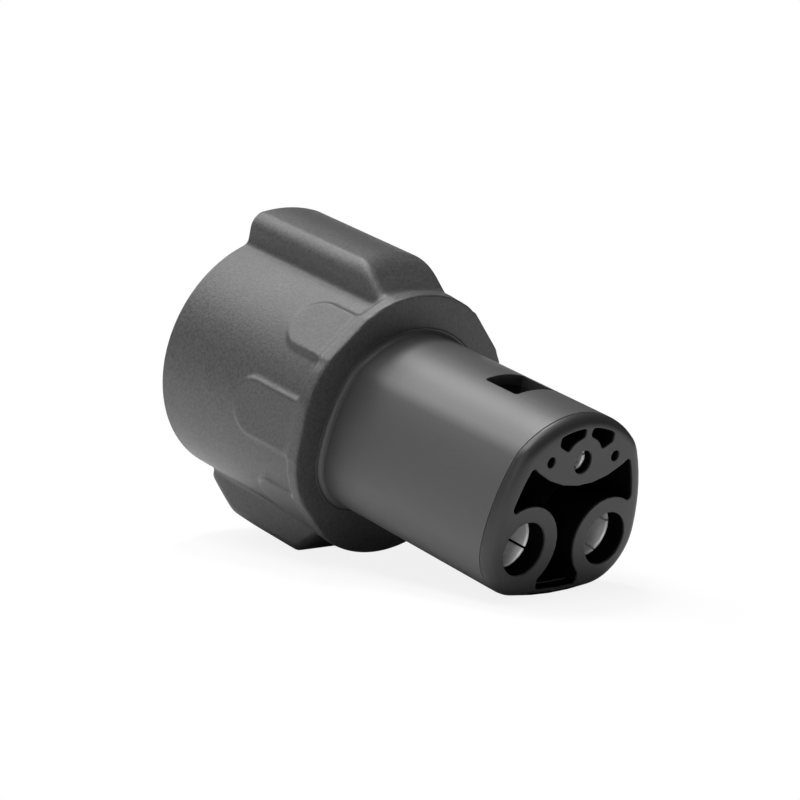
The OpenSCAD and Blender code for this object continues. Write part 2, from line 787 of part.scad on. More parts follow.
// Through holes for the fixing screws between two places
module screw_holes(from, to) {
    for (a = screw_dirs)
        rotate(a)
            translate([screw_at, 0, from])
                cylinder(h = to - from, r = screw_r + screw_gap, $fn = 32);
}

// Carrier ring: holds the plate off the sleeve's base, with the links inside it and the seal's groove outside
module carrier_ring() {
    color(dark_plastic)
        lay()
            difference() {
                translate([0, 0, link_seat])
                    cylinder(h = base_back - link_seat, r = carrier_r);
                nose_block(-sleeve_wall, link_seat - 1, base_back + 1);
                screw_holes(link_seat - 1, base_back + 1);
                difference() {
                    translate([0, 0, ring_at - ring_w / 2])
                        cylinder(h = ring_w, r = carrier_r + 1);
                    translate([0, 0, ring_at - ring_w])
                        cylinder(h = 2 * ring_w, r = carrier_r - ring_depth);
                }
            }
}

// Place and radius of each pin in the socket
function socket_pins() = [[[-line_at.x, line_at.y], line_r], [line_at, line_r], [earth_at, earth_r],
                          [[-pilot_at.x, pilot_at.y], pilot_r], [pilot_at, pilot_r]];

// Seal ring in the carrier's groove
module carrier_seal() {
    inner = carrier_r - ring_depth + ring_gap;
    outer = socket_r - ring_gap;
    color(rubber)
        lay()
            rotate_extrude()
                translate([inner, ring_at - ring_w / 2 + ring_side_gap])
                    square([outer - inner, ring_w - 2 * ring_side_gap]);
}

// A socket pin: rounded tip, shank through the plate, collar on the plate, and a tail for its link
module socket_pin(at, r, tip, link_t) {
    tip_r = r * pin_tip;
    back = link_seat + pin_collar_t;
    color(silver_plate)
        lay()
            translate([at.x, at.y, 0])
                rotate_extrude($fn = 48)
                    polygon(concat([[0, tip]], arc([r - tip_r, tip + tip_r], tip_r, -90, 0, 8),
                        [[r, socket_depth], [r + pin_shoulder, socket_depth],
                         [r + pin_shoulder, link_seat], [r + pin_collar_out, link_seat],
                         [r + pin_collar_out, back], [r * pin_tail, back],
                         [r * pin_tail, back + link_t], [0, back + link_t]]));
}

module line_pin_left() {
    socket_pin([-line_at.x, line_at.y], line_r, pin_tip_at, power_link_t);
}

module line_pin_right() {
    socket_pin(line_at, line_r, pin_tip_at, power_link_t);
}

module ground_pin() {
    socket_pin(earth_at, earth_r, pin_tip_at, small_link_t);
}

module pilot_pin() {
    socket_pin([-pilot_at.x, pilot_at.y], pilot_r, pin_tip_at + pilot_tip_back, small_link_t);
}

module proximity_pin() {
    socket_pin(pilot_at, pilot_r, pin_tip_at + pilot_tip_back, small_link_t);
}

// A nose contact: split tines round a bore, a solid shank, a collar in the base and a tail for its link
module nose_socket(at, bore_r, wall, recess, tines, slit, first_slit, slit_step, tail_r, link_t) {
    r = bore_r + wall;
    shank_r = (r + tail_r) / 2;
    mouth = total_len - recess;
    lead = wall * mouth_share;
    color(silver_plate)
        lay()
            translate([at.x, at.y, 0])
                difference() {
                    rotate_extrude($fn = 64)
                        polygon([[0, link_front - link_t], [tail_r, link_front - link_t],
                                 [tail_r, link_front], [shank_r, link_front], [shank_r, contact_back],
                                 [r + collar_out, contact_back], [r + collar_out, contact_back + collar_t],
                                 [r, contact_back + collar_t], [r, mouth - lead], [r - lead, mouth],
                                 [bore_r + lead, mouth], [bore_r, mouth - lead],
                                 [bore_r, mouth - tines], [0, mouth - tines - bore_r / 2]]);
                    for (turn = [0 : slit_step : 359])
                        rotate(first_slit + turn)
                            translate([0, -slit / 2, mouth - tines + slit])
                                cube([r + 1, slit, tines]);
                    children();
                }
}

// Groove round the tines where the spring ring sits
module spring_groove(gap) {
    r = power_bore_r + power_wall;
    mid = total_len - power_recess - power_tines / 2;
    difference() {
        translate([0, 0, mid - spring_w / 2 - gap])
            cylinder(h = spring_w + 2 * gap, r = r + (gap > 0 ? 1 : 0), $fn = 64);
        translate([0, 0, mid - spring_w])
            cylinder(h = 2 * spring_w, r = r - spring_t - gap, $fn = 64);
    }
}

module power_socket(at, first_slit) {
    nose_socket(at, power_bore_r, power_wall, power_recess, power_tines, slit_w, first_slit, power_slits,
                power_tail_r, power_link_t)
        spring_groove(spring_gap);
}

module power_socket_left() {
    power_socket([-power_at.x, power_at.y], left_slit_at);
}

module power_socket_right() {
    power_socket(power_at, right_slit_at);
}

// Open spring ring that presses the tines on to the pin
module tine_spring(at) {
    color(steel)
        lay()
            translate([at.x, at.y, 0])
                difference() {
                    spring_groove(0);
                    translate([0, -spring_open / 2, recess_floor])
                        cube([power_hole_r + 1, spring_open, recess_depth]);
                }
}

module tine_spring_left() {
    tine_spring([-power_at.x, power_at.y]);
}

module tine_spring_right() {
    tine_spring(power_at);
}

module ground_socket() {
    nose_socket(ground_at, ground_bore_r, ground_wall, ground_recess, ground_tines, slit_w, ground_slit_at,
                ground_slits, ground_tail_r, small_link_t);
}

module signal_socket(at) {
    nose_socket(at, signal_bore_r, signal_wall, signal_recess, signal_tines, signal_slit_w, signal_slit_at,
                signal_slits, signal_tail_r, small_link_t);
}

module pilot_socket() {
    signal_socket([-signal_at.x, signal_at.y]);
}

module proximity_socket() {
    signal_socket(signal_at);
}

// A folded strip that joins a pin's tail to a nose contact's tail: a lug on each tail and a post between.
// The strip runs along dir; the post's far side lies at post from the pin.
module link(pin, pin_tail_r, contact, contact_tail_r, dir, post, w, t) {
    low = link_seat + pin_collar_t;
    reach = (contact - pin) * [cos(dir), sin(dir)];
    side = (contact - pin) * [-sin(dir), cos(dir)];
    color(copper)
        lay()
            difference() {
                translate([pin.x, pin.y, 0])
                    rotate(dir)
                        translate([0, side / 2, 0])
                            rotate([90, 0, 0])
                                linear_extrude(w, center = true)
                                    union() {
                                        translate([-w / 2, low])
                                            square([post + w / 2, t]);
                                        translate([post - t, low])
                                            square([t, link_front - low]);
                                        translate([min(reach - w / 2, post - t), link_front - t])
                                            square([max(reach + w / 2, post) - min(reach - w / 2, post - t), t]);
                                    }
                translate([pin.x, pin.y, low - 1])
                    cylinder(h = t + 2, r = pin_tail_r + link_gap, $fn = 48);
                translate([contact.x, contact.y, link_front - t - 1])
                    cylinder(h = t + 2, r = contact_tail_r + link_gap, $fn = 48);
            }
}

module line_link_left() {
    mirror([0, 1, 0])
        line_link_right();
}

module line_link_right() {
    link(line_at, line_r * pin_tail, power_at, power_tail_r,
         bearing(line_at, power_at), power_link_post, power_link_w, power_link_t);
}

module ground_link() {
    link(earth_at, earth_r * pin_tail, ground_at, ground_tail_r,
         90, ground_link_post, small_link_w, small_link_t);
}

module pilot_link() {
    mirror([0, 1, 0])
        proximity_link();
}

module proximity_link() {
    link(pilot_at, pilot_r * pin_tail, signal_at, signal_tail_r,
         bearing(pilot_at, signal_at), (norm(signal_at - pilot_at) + small_link_t) / 2,
         small_link_w, small_link_t);
}

// Four countersunk screws that pull the carrier and the sleeve's base together
module fixing_screws() {
    head_t = screw_head_r - screw_r;
    color(steel)
        lay()
            for (a = screw_dirs)
                rotate(a)
                    translate([screw_at, 0, socket_depth])
                        difference() {
                            union() {
                                cylinder(h = head_t, r1 = screw_head_r, r2 = screw_r, $fn = 32);
                                cylinder(h = base_back - socket_depth + screw_bite, r = screw_r, $fn = 32);
                            }
                            for (turn = [0, 90])
                                rotate(turn)
                                    translate([-cross_len / 2, -cross_w / 2, -1])
                                        cube([cross_len, cross_w, 1 + head_t * 0.8]);
                        }
}

barrel_housing();
nose_seal();
nose_sleeve();
nose_face();
contact_housing();
contact_base();
pin_carrier();
carrier_ring();
carrier_seal();
line_pin_left();
line_pin_right();
ground_pin();
pilot_pin();
proximity_pin();
power_socket_left();
power_socket_right();
tine_spring_left();
tine_spring_right();
ground_socket();
pilot_socket();
proximity_socket();
line_link_left();
line_link_right();
ground_link();
pilot_link();
proximity_link();
fixing_screws();
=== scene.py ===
import bpy
import numpy as np
from mathutils import Matrix, Vector


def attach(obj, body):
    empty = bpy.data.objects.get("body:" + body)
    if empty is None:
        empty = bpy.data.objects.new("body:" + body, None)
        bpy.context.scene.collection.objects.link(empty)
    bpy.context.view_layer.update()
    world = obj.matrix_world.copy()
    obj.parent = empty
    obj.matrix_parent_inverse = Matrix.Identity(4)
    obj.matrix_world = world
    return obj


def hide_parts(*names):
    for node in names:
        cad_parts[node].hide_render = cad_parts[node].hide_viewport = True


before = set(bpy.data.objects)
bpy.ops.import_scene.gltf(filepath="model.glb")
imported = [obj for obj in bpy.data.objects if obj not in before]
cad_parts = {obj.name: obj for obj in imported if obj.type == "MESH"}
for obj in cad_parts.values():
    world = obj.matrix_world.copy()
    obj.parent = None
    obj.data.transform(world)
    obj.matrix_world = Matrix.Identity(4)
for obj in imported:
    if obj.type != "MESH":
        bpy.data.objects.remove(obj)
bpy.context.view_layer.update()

# Camera. A long lens above the right of the nose, placed by fitting it to the rim's circle,
# the holes of the nose's face and the flange in the photograph.
lens_data = bpy.data.cameras.new("photo_camera")
lens_data.sensor_fit = "HORIZONTAL"
lens_data.sensor_width = 36.0
lens_data.lens = 119.52
lens_data.clip_start = 0.01
lens_data.clip_end = 20.0
camera = bpy.data.objects.new("photo_camera", lens_data)
bpy.context.scene.collection.objects.link(camera)
camera_right = (0.68457, 0.72840, 0.02690)
camera_up = (-0.10360, 0.06070, 0.99282)
camera_back = (0.72152, -0.68240, 0.11698)
camera_turn = Matrix((camera_right, camera_up, camera_back)).transposed().to_quaternion()
camera.matrix_world = Matrix.LocRotScale((0.38060, -0.36100, 0.09433), camera_turn, None)
bpy.context.scene.camera = camera

# The way of the adapter's own axis. It lies nose down by the angle at which the lower rib and
# the nose's lower lip both touch the floor, and every turned or moulded detail follows it.
NOSE_DOWN = np.radians(13.85905)
AXIS = np.array([np.cos(NOSE_DOWN), 0.0, -np.sin(NOSE_DOWN)])
UPWARD = np.array([np.sin(NOSE_DOWN), 0.0, np.cos(NOSE_DOWN)])
RIM_CENTRE = np.array([-0.04422755, 0.0, 0.03815445])


# Housing. One moulding in dark grey plastic from a spark-eroded tool, so its skin has an even
# fine grain that scatters the light. It carries the ribs, the grip pads and the flange.
class Lead:
    """One output of a node in a finish. Sums, differences and products of leads add Math nodes."""

    def __init__(self, tree, socket):
        self.tree, self.socket = tree, socket

    def node(self, kind, settings=None, inputs=None, output=0):
        """Adds a node to the same finish and returns one of its outputs."""
        return add_node(self.tree, kind, settings, inputs, output)

    def maths(self, operation, first, second):
        """Adds a Math node of that operation on two leads or values."""
        return self.node("ShaderNodeMath", {"operation": operation}, {0: first, 1: second})

    def __add__(self, other):
        return self.maths("ADD", self, other)

    __radd__ = __add__

    def __mul__(self, other):
        return self.maths("MULTIPLY", self, other)

    __rmul__ = __mul__

    def __sub__(self, other):
        return self.maths("SUBTRACT", self, other)

    def __rsub__(self, other):
        return self.maths("SUBTRACT", other, self)


def add_node(tree, kind, settings=None, inputs=None, output=0):
    """Adds a node, sets what it is (a ramp's stops too), then its sockets' values or leads."""
    node = tree.nodes.new(kind)
    for name, value in (settings or {}).items():
        if name == "stops":
            stops = node.color_ramp.elements
            while len(stops) < len(value):
                stops.new(1.0)
            for stop, (place, colour) in zip(stops, value):
                stop.position, stop.color = place, colour
        else:
            setattr(node, name, value)
    for name, value in (inputs or {}).items():
        if isinstance(value, Lead):
            tree.links.new(value.socket, node.inputs[name])
        else:
            node.inputs[name].default_value = value
    return None if output is None else Lead(tree, node.outputs[output])


def new_finish(name, constants):
    """Starts a finish with one principled shader. Returns the finish, the shader and a lead of the
    place on the piece."""
    finish = bpy.data.materials.new(name)
    finish.use_nodes = True
    tree = finish.node_tree
    shader = tree.nodes["Principled BSDF"]
    for socket, value in constants.items():
        shader.inputs[socket].default_value = value
    place = add_node(tree, "ShaderNodeTexCoord", output=3)
    return finish, shader, place


def feed(shader, **leads):
    """Links leads to the shader's sockets, whose names are written with _ for each space."""
    for name, lead in leads.items():
        lead.tree.links.new(lead.socket, shader.inputs[name.replace("_", " ")])


def tone(value):
    """A grey of that linear value, with 2% more blue."""
    return (value, value, value * (1.0 + 0.02), 1.0)


def grained_plastic(name, dark, light, grain_size, grain_depth, edge, rough, painted_shade_reach=0.0):
    """Moulded plastic with an even grain: bump height is a fine noise of the grain's size, colour
    goes from dark to light with it, and a slow noise varies the gloss as a mould's wear does.
    A finish given a distance there gets painted shade in its corners and hollows: an ambient
    occlusion node darkens its colour within that distance."""
    finish, shader, place = new_finish(name, {"IOR": 1.5})
    fine = place.node("ShaderNodeTexNoise", {}, {"Vector": place, "Scale": 1.0 / grain_size,
                                                  "Detail": 2.0, "Roughness": 0.6})
    slow = place.node("ShaderNodeTexNoise", {}, {"Vector": place, "Scale": 45.0, "Detail": 3.0})
    speckle = place.node("ShaderNodeTexNoise", {}, {"Vector": place, "Scale": 0.45 / grain_size,
                                                     "Detail": 1.0})
    mixed = fine * 0.55 + speckle * 0.45
    colour = mixed.node("ShaderNodeValToRGB", {"stops": [(0.36, dark), (0.64, light)]},
                        {"Fac": mixed})
    soft_edge = place.node("ShaderNodeBevel", {"samples": 6}, {"Radius": edge})
    bumped = fine.node("ShaderNodeBump", {}, {"Strength": 0.6, "Distance": grain_depth,
                                               "Height": fine + speckle * 0.6,
                                               "Normal": soft_edge})
    # Painted shade: an ambient occlusion node darkens the colour in corners and hollows, by up to
    # three quarters.
    if painted_shade_reach:
        painted_shade_share = 0.75
        painted_corner_shade = place.node("ShaderNodeAmbientOcclusion", {"samples": 10}, {"Distance": painted_shade_reach})
        colour = place.node("ShaderNodeMix", {"data_type": "RGBA", "blend_type": "MULTIPLY"},
                            {0: painted_shade_share, 6: colour, 7: painted_corner_shade}, output=2)
    feed(shader, Base_Color=colour, Normal=bumped,
         Roughness=slow * 0.12 + fine * 0.08 + (rough - 0.1))
    return finish


def placed(across, up, along):
    """Turns places in the adapter's own frame, in mm across, up and along its axis from the rim,
    into metres as it lies: rim centre + across * Y + up * upward + along * axis."""
    across, up, along = (np.asarray(part, float)[..., None] for part in (across, up, along))
    return RIM_CENTRE + 0.001 * (across * np.array([0.0, 1.0, 0.0]) + up * UPWARD + along * AXIS)


def nose_arcs():
    """The nose's outline as eight arcs that run smoothly into each other, each as its centre across
    and up, radius, and the angles that it runs between, in mm and radians."""
    half, top, bottom, wide_below = 20.1, 19.5, 16.8, 4.8
    crown_r, side_r, upper_r, lower_r = 21.3, 36.0, 8.0, 11.4
    low = np.array([half - lower_r, -wide_below])
    gap = bottom - wide_below - lower_r
    under_r = lower_r + (low[0] ** 2 / gap + gap) / 2
    under = np.array([0.0, under_r - bottom])
    side = np.array([half - side_r, -wide_below])
    crown = np.array([0.0, top - crown_r])
    span = side - crown
    reach = np.hypot(*span)
    way = span / reach
    near, far = crown_r - upper_r, side_r - upper_r
    foot = (near ** 2 - far ** 2 + reach ** 2) / (2 * reach)
    corner = crown + foot * way + np.sqrt(near ** 2 - foot ** 2) * np.array([way[1], -way[0]])
    crown_a = np.arctan2(*(corner - crown)[::-1])
    side_a = np.arctan2(*(corner - side)[::-1])
    under_a = np.arctan2(*(low - under)[::-1])
    right = [(low, lower_r, under_a, 0.0), (side, side_r, 0.0, side_a),
             (corner, upper_r, side_a, crown_a)]
    left = [(centre * [-1, 1], r, np.pi - to, np.pi - start) for centre, r, start, to in right[::-1]]
    return (right + [(crown, crown_r, crown_a, np.pi - crown_a)] + left
            + [(under, under_r, -np.pi - under_a, under_a)])


def nose_outline(out, count):
    """Points along the nose's outline, moved out by a distance, evenly spaced along its arcs and
    in the order of a clock seen from the rim: across and up, in mm."""
    arcs = nose_arcs()
    lengths = np.array([r * (to - start) for _, r, start, to in arcs])
    ends = np.concatenate([[0.0], np.cumsum(lengths)])
    along = np.arange(count) / count * ends[-1]
    which = np.searchsorted(ends, along, side="right") - 1
    centre = np.array([arc[0] for arc in arcs])[which]
    radius = np.array([arc[1] for arc in arcs])[which]
    angle = np.array([arc[2] for arc in arcs])[which] + (along - ends[which]) / radius
    ring = centre + (radius + out)[:, None] * np.stack([np.cos(angle), np.sin(angle)], -1)
    return ring[::-1]


def joined(first, second, blend):
    """Union of two distance fields with a fillet: the lesser, less (blend - gap)^2 / (4 blend)."""
    gap = np.maximum(blend - np.abs(first - second), 0.0)
    return np.minimum(first, second) - gap * gap / (4.0 * blend)


def trimmed(first, second, blend):
    """Intersection of two distance fields with a rounded edge, the mirror image of joined."""
    return -joined(-first, -second, blend)


def rounded(radius, *fields):
    """Intersection of fields whose edges get one radius: length of what is positive once each field
    has come in by the radius, plus the largest where none is, less the radius."""
    inner = np.stack([field + radius for field in fields])
    outside = np.sqrt((np.maximum(inner, 0.0) ** 2).sum(0))
    return outside + np.minimum(inner.max(0), 0.0) - radius


# The housing's sizes, in mm across, up and along the axis from the rim. PADS_AT are the ways that the
# grip pads face, in degrees from straight up, and DIAGONAL is the sine and cosine of 45 degrees.
BARREL_R, HOUSING_LEN = 26.0, 45.1
FLANGE_R, FLANGE_START = 27.25, 42.4
PAD_FLAT, PAD_HALF_W = 26.12, 5.5
PADS_AT = (45, 90, 135)
RIB_HALF_W, RIB_START = 9.8, 0.4
DIAGONAL = 0.7071


def upper_rib_field(across, up, along, from_axis):
    """Crown about the barrel's axis, bent down to a front face at 35.5 degrees, straight sides."""
    crown_r = 32.1
    front_up, front_along, front_slope = 30.43, 35.93, np.radians(35.5)
    crest_round, edge_round, end_round = 1.8, 2.6, 0.9
    front = (up - front_up) * np.cos(front_slope) + (along - front_along) * np.sin(front_slope)
    top = trimmed(from_axis - crown_r, front, crest_round)
    body = rounded(edge_round, np.abs(across) - RIB_HALF_W, top)
    return rounded(end_round, body, RIB_START - along, -up)


def lower_rib_field(across, up, along):
    """Flat underside, ramp at the rim's end, front face at 45 degrees, sides that close in on an arc
    from neck_start back to the rim."""
    depth, neck_start, neck_in = 31.6, 20.4, 2.3
    front_along, front_depth, front_out = 30.9, 29.1, 2.5
    ramp_along, ramp_sine, ramp_cosine = 10.0, 0.3596, 0.9331
    front_round, ramp_round, edge_round, end_round = 0.82, 0.5, 1.6, 0.7
    neck = (neck_start ** 2 + neck_in ** 2) / (2 * neck_in)
    behind_neck = np.clip(neck_start - along, 0.0, neck_start)
    half = RIB_HALF_W - neck + np.sqrt(neck ** 2 - behind_neck ** 2)
    front = (along - front_along) * DIAGONAL + (-up - front_depth) * DIAGONAL - front_out
    ramp = -ramp_sine * (along - ramp_along) - ramp_cosine * (up + depth)
    under = trimmed(trimmed(-up - depth, front, front_round), ramp, ramp_round)
    body = rounded(edge_round, np.abs(across) - half, under)
    return rounded(end_round, body, RIB_START - along, up)


def pad_field(across, up, along, turn, start):
    """A flat at PAD_FLAT from the axis whose outline is a round-ended strip; its walls are at 45
    degrees, and it ends well inside the barrel so that it has no far side."""
    edge_round, inner_end = 0.3, 15.0
    toward = across * np.sin(turn) + up * np.cos(turn)
    height = toward - PAD_FLAT
    aside = across * np.cos(turn) - up * np.sin(turn)
    strip = np.hypot(aside, np.minimum(along - start - PAD_HALF_W, 0.0)) - PAD_HALF_W
    return np.maximum(trimmed(height, (strip + height) * DIAGONAL, edge_round), inner_end - toward)


def housing_field(across, up, along):
    """Distance from the housing's outside: the barrel with its rounded rim, the six pads, the two
    ribs and the flange, each joined to the rest with its own fillet."""
    side_pad_start, other_pad_start = 23.6, 28.6
    pad_fillet, rib_fillet, flange_fillet = 0.3, 1.2, 2.2
    corner_round, flange_round, rim_round, front_round = 0.45, 0.5, 0.8, 0.5
    from_axis = np.hypot(across, up)
    body = from_axis - BARREL_R
    outline = from_axis - FLANGE_R
    for side in (-1, 1):
        for pad_at in PADS_AT:
            turn = np.radians(side * pad_at)
            start = side_pad_start if pad_at == 90 else other_pad_start
            body = joined(body, pad_field(across, up, along, turn, start), pad_fillet)
            flat = across * np.sin(turn) + up * np.cos(turn) - PAD_FLAT
            outline = trimmed(outline, flat, corner_round)
    body = joined(body, upper_rib_field(across, up, along, from_axis), rib_fillet)
    body = joined(body, lower_rib_field(across, up, along), rib_fillet)
    body = joined(body, rounded(flange_round, outline, FLANGE_START - along), flange_fillet)
    return rounded(front_round, rounded(rim_round, body, -along), along - HOUSING_LEN)


def even_by(weight, low, high, count):
    """Places from low to high whose spacing is inverse to weight(place)."""
    fine = np.linspace(low, high, 4001)
    share = np.concatenate([[0.0], np.cumsum(0.5 * (weight(fine[1:]) + weight(fine[:-1])))])
    return np.interp(np.linspace(0.0, share[-1], count), share, fine)


def bump(place, middle, width):
    """A soft hump of height 1 and that width about the middle."""
    return np.exp(-((place - middle) / width) ** 2)


def column_weight(turn):
    """More columns over the sides of the ribs and the walls of the pads: 1 plus a hump at each."""
    upper_rib_side, lower_rib_side, pad_half = 19.0, 161.5, 13.5
    turn = np.degrees(turn)
    turn = np.minimum(turn % 360, 360 - turn % 360)
    ribs = bump(turn, upper_rib_side, 3.5) + bump(turn, lower_rib_side, 3.5)
    pads = sum(bump(turn, pad_at + side * pad_half, 2.0) for pad_at in PADS_AT for side in (-1, 1))
    return 1.0 + 3.2 * ribs + 1.2 * pads


def row_weight(at):
    """More rows over the flange's fillet and the front of the upper rib: 1 plus a hump at each."""
    flange_fillet_at, rib_front_at = 41.5, 32.0
    return 1.0 + 1.5 * bump(at, flange_fillet_at, 1.8) + 0.8 * bump(at, rib_front_at, 3.0)


def grid_mesh(name, points):
    """Quads between neighbouring points of a grid that is closed both ways, smooth where it bends
    by less than 35 degrees."""
    rows, columns = points.shape[:2]
    i, j = np.meshgrid(np.arange(rows), np.arange(columns), indexing="ij")
    below, beside = (i + 1) % rows, (j + 1) % columns
    quads = np.stack([i * columns + j, below * columns + j, below * columns + beside,
                      i * columns + beside], -1).reshape(-1, 4)
    mesh = bpy.data.meshes.new(name)
    mesh.from_pydata(points.reshape(-1, 3).tolist(), [], quads.tolist())
    mesh.shade_smooth()
    mesh.set_sharp_from_angle(angle=np.radians(35.0))
    return mesh


def add_piece(name, mesh, finish, slot_name, *nodes):
    """Puts a mesh in the scene as a piece that stands for those CAD nodes."""
    mesh.materials.clear()
    mesh.materials.append(finish)
    piece = bpy.data.objects.new(name, mesh)
    bpy.context.scene.collection.objects.link(piece)
    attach(piece, "root")
    if nodes:
        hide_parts(*nodes)
    return piece


# The housing's skin is found by looking in along rays that start outside. Their feet stand on a line
# that runs round the rim, along inside the barrel, round the flange and in to the nose, and each ray
# leaves its foot at an angle: -90 degrees looks back from the rim, 0 outward, 90 to the front.
columns, lip_rows, rim_rows, barrel_rows, flange_rows, front_rows = 720, 4, 34, 88, 16, 10
turns = even_by(column_weight, 0.0, 2 * np.pi, columns + 1)[:-1]
nose_gap, hole_round, opening_points = 0.2, 0.4, 1600
opening = nose_outline(nose_gap + hole_round, opening_points)
opening_turn = np.arctan2(opening[:, 0], opening[:, 1])
order = np.argsort(opening_turn)
opening_r = np.interp((turns + np.pi) % (2 * np.pi) - np.pi, opening_turn[order],
                      np.hypot(*opening.T)[order], period=2 * np.pi)
line_r, line_back, line_front, lip_r = 24.4, 3.0, 42.6, 23.05
feet = [(foot_r, line_back, -90.0) for foot_r in np.linspace(lip_r, line_r, lip_rows)]
feet += [(line_r, line_back, angle) for angle in np.linspace(-86.0, -4.0, rim_rows)]
feet += [(line_r, at, 0.0) for at in even_by(row_weight, line_back, line_front, barrel_rows)]
feet += [(line_r, line_front, angle) for angle in np.linspace(4.0, 86.0, flange_rows)]
feet = np.array(feet)
foot_r = np.repeat(feet[:, :1], columns, 1)
foot_along = np.repeat(feet[:, 1:2], columns, 1)
angle = np.radians(np.repeat(feet[:, 2:], columns, 1))
front_share = np.linspace(0.0, 0.97, front_rows)[:, None]
foot_r = np.concatenate([foot_r, line_r + (opening_r - line_r) * front_share])
foot_along = np.concatenate([foot_along, np.full((front_rows, columns), line_front)])
angle = np.concatenate([angle, np.full((front_rows, columns), np.pi / 2)])
far_off, step_share, steps = 12.0, 0.8, 90
reach = np.full(foot_r.shape, far_off)
for _ in range(steps):
    out_r = foot_r + reach * np.cos(angle)
    reach = reach - step_share * housing_field(out_r * np.sin(turns), out_r * np.cos(turns),
                                               foot_along + reach * np.sin(angle))
skin_r = foot_r + reach * np.cos(angle)
skin_along = foot_along + reach * np.sin(angle)

# Inside, the skin goes through the hole in the front wall, along the socket's bore and out over
# the mouth's guide and lead-in to the rim.
wall_back, socket_r = 41.9, 22.1
guide_r, guide_end, mouth_r, lead_in = 22.4, 7.0, 23.0, 0.6
inside = [(opening_r, HOUSING_LEN), (opening_r - hole_round, HOUSING_LEN - hole_round),
          (opening_r - hole_round, wall_back), (socket_r, wall_back), (socket_r, guide_end),
          (guide_r, guide_end), (guide_r, lead_in), (mouth_r, 0.0)]
skin_r = np.concatenate([skin_r, [np.broadcast_to(r, columns) for r, _ in inside]])
skin_along = np.concatenate([skin_along, [np.full(columns, at) for _, at in inside]])
housing_mesh = grid_mesh("barrel_housing_skin",
                         placed(skin_r * np.sin(turns), skin_r * np.cos(turns), skin_along))


def cut_away(mesh, name, corners, faces):
    """Takes a closed block, given by corners in metres and faces, out of a mesh with a boolean."""
    block_mesh = bpy.data.meshes.new(name)
    block_mesh.from_pydata(corners.tolist(), [], faces)
    block = bpy.data.objects.new(name, block_mesh)
    body = bpy.data.objects.new(name + "_body", mesh)
    for thing in (block, body):
        bpy.context.scene.collection.objects.link(thing)
    cut = body.modifiers.new(name, "BOOLEAN")
    cut.operation, cut.solver, cut.object = "DIFFERENCE", "EXACT", block
    graph = bpy.context.evaluated_depsgraph_get()
    result = bpy.data.meshes.new_from_object(body.evaluated_get(graph))
    for thing in (block, body):
        bpy.data.objects.remove(thing)
    result.set_sharp_from_angle(angle=np.radians(35.0))
    return result


def prism(outline, low, high):
    """Corners and faces of a prism on an outline of points across and up, in mm, from low to high
    along the axis."""
    count = len(outline)
    ends = [placed(outline[:, 0], outline[:, 1], np.full(count, at)) for at in (low, high)]
    faces = [(i, (i + 1) % count, count + (i + 1) % count, count + i) for i in range(count)]
    faces += [tuple(range(count))[::-1], tuple(range(count, 2 * count))]
    return np.concatenate(ends), faces


# The latch pocket in the lower rib, cut from below the rib up to its ceiling.
pocket_half_w, pocket_ceiling, below_rib = 6.2, -27.1, -40.0
pocket_start, pocket_end = 12.0, 24.0
pocket_outline = np.array([(pocket_half_w, below_rib), (pocket_half_w, pocket_ceiling),
                           (-pocket_half_w, pocket_ceiling), (-pocket_half_w, below_rib)])
housing_mesh = cut_away(housing_mesh, "latch_pocket",
                        *prism(pocket_outline, pocket_start, pocket_end))

# The housing's colour carries painted shade in its corners and hollows, from an ambient occlusion
# node that reaches 12 mm.
housing_plastic = grained_plastic("housing_plastic", dark=tone(0.044), light=tone(0.084),
                                  grain_size=0.00028, grain_depth=0.00008, edge=0.0002,
                                  rough=0.46, painted_shade_reach=0.012)
add_piece("barrel_housing_skin", housing_mesh, housing_plastic, "housing_plastic", "barrel_housing")


# Pin carrier, carrier ring, contact housing and contact base. Plain black mouldings inside the
# housing and the nose, with the same grain but finer, which hold the pins and the contacts.
def dress(names, finish):
    """Gives a finish to CAD nodes."""
    for name in names:
        for material_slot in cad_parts[name].material_slots:
            material_slot.material = finish


carrier_plastic = grained_plastic("carrier_plastic", dark=tone(0.01), light=tone(0.014),
                                  grain_size=0.0002, grain_depth=0.00002, edge=0.0002, rough=0.5)
dress(["pin_carrier", "carrier_ring", "contact_housing", "contact_base"], carrier_plastic)


# Nose sleeve and nose face. Two mouldings in smooth plastic from polished tools, with a satin
# skin. The face is darker than the sleeve and closes its front end.
def smoothed(names):
    """Lets CAD nodes shade as the smooth surfaces that their facets stand for: points that share a
    place are joined, and only edges that turn by more than 28 degrees stay sharp."""
    tree = bpy.data.node_groups.new("smooth_turns", "GeometryNodeTree")
    for way in ("INPUT", "OUTPUT"):
        tree.interface.new_socket("Geometry", in_out=way, socket_type="NodeSocketGeometry")
    start = add_node(tree, "NodeGroupInput")
    joined_up = start.node("GeometryNodeMergeByDistance", {}, {0: start, "Distance": 0.000002})
    turn = start.node("GeometryNodeInputMeshEdgeAngle")
    sharp = turn.node("FunctionNodeCompare", {"operation": "GREATER_THAN"},
                      {0: turn, 1: float(np.radians(28.0))})
    shaded = start.node("GeometryNodeSetMeshNormal", {},
                        {"Mesh": joined_up, "Remove Custom": True, "Edge Sharpness": sharp})
    shaded.node("NodeGroupOutput", {}, {0: shaded}, output=None)
    for name in names:
        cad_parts[name].modifiers.new("smooth_turns", "NODES").node_group = tree


# The sleeve's colour carries painted shade in its corners and hollows, from an ambient occlusion node
# that reaches 12 mm.
nose_plastic = grained_plastic("nose_plastic", dark=tone(0.07), light=tone(0.08),
                               grain_size=0.00018, grain_depth=0.000008, edge=0.0002,
                               rough=0.44, painted_shade_reach=0.012)
dress(["nose_sleeve"], nose_plastic)
smoothed(["nose_sleeve", "nose_face"])
face_plastic = grained_plastic("face_plastic", dark=tone(0.028), light=tone(0.032),
                               grain_size=0.00018, grain_depth=0.000006, edge=0.0003, rough=0.42)
dress(["nose_face"], face_plastic)

